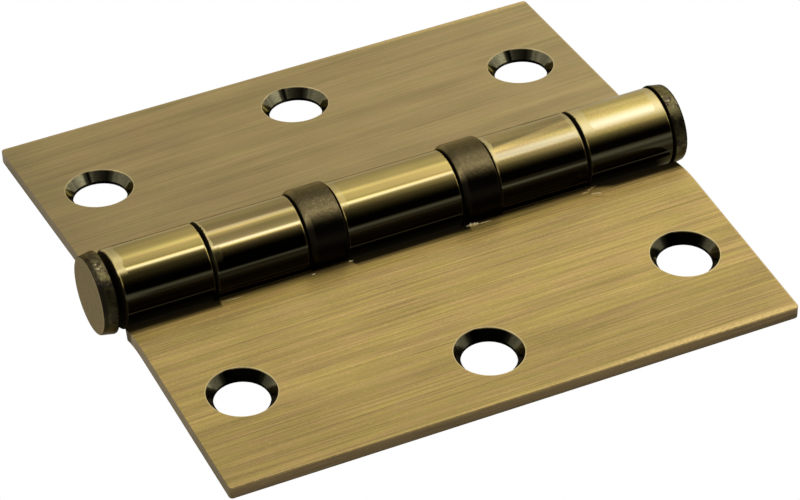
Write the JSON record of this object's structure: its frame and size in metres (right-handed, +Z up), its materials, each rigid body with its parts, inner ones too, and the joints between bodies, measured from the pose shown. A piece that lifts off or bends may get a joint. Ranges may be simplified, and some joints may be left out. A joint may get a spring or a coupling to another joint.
{
  "type": "ball bearing hinge",
  "caption": "Open butt hinge in antique brass finish, with countersunk leaves curled round one pin and thrust bearings in its barrel.",
  "frame": {"origin": "on the surface that the open hinge lies on, under the axis of the barrel, midway along the leaves", "axes": "+X along the barrel, +Y towards the three-knuckle leaf, +Z up from the countersunk faces"},
  "size_m": [0.0807, 0.076, 0.0112],
  "materials": {
    "leaf": "antique brass plating, brushed along the barrel and darkened",
    "button": "dark bronzed satin",
    "shroud": "dark bronzed satin",
    "race": "hardened and ground",
    "ball": "polished"
  },
  "bodies": {
    "back": {"back_leaf": "leaf", "hinge_pin": "button", "tip_plug": "button", "left_bearing_shroud": "shroud", "right_bearing_shroud": "shroud", "left_inner_race": "race", "right_inner_race": "race"},
    "front": {"front_leaf": "leaf", "left_outer_race": "race", "right_outer_race": "race"},
    "left_balls": {"left_ball_01": "ball", "left_ball_02": "ball", "left_ball_03": "ball", "left_ball_04": "ball", "left_ball_05": "ball", "left_ball_06": "ball", "left_ball_07": "ball", "left_ball_08": "ball", "left_ball_09": "ball", "left_ball_10": "ball", "left_ball_11": "ball", "left_ball_12": "ball", "left_ball_13": "ball", "left_ball_14": "ball", "left_ball_15": "ball", "left_ball_16": "ball"},
    "right_balls": {"right_ball_01": "ball", "right_ball_02": "ball", "right_ball_03": "ball", "right_ball_04": "ball", "right_ball_05": "ball", "right_ball_06": "ball", "right_ball_07": "ball", "right_ball_08": "ball", "right_ball_09": "ball", "right_ball_10": "ball", "right_ball_11": "ball", "right_ball_12": "ball", "right_ball_13": "ball", "right_ball_14": "ball", "right_ball_15": "ball", "right_ball_16": "ball"}
  },
  "joints": [
    {"name": "leaf_swing", "type": "hinge", "parent": "back", "child": "front", "pos_m": [0, 0, 0.0056], "axis": [-1, 0, 0], "range_deg": [-83, 187]},
    {"name": "left_ball_orbit", "type": "hinge", "parent": "back", "child": "left_balls", "pos_m": [0, 0, 0.0056], "axis": [-1, 0, 0], "range_deg": [-42, 94]},
    {"name": "right_ball_orbit", "type": "hinge", "parent": "back", "child": "right_balls", "pos_m": [0, 0, 0.0056], "axis": [-1, 0, 0], "range_deg": [-42, 94]}
  ],
  "couplings": [
    {"joint": "left_ball_orbit", "follows": "leaf_swing", "ratio": 0.5},
    {"joint": "right_ball_orbit", "follows": "leaf_swing", "ratio": 0.5}
  ]
}
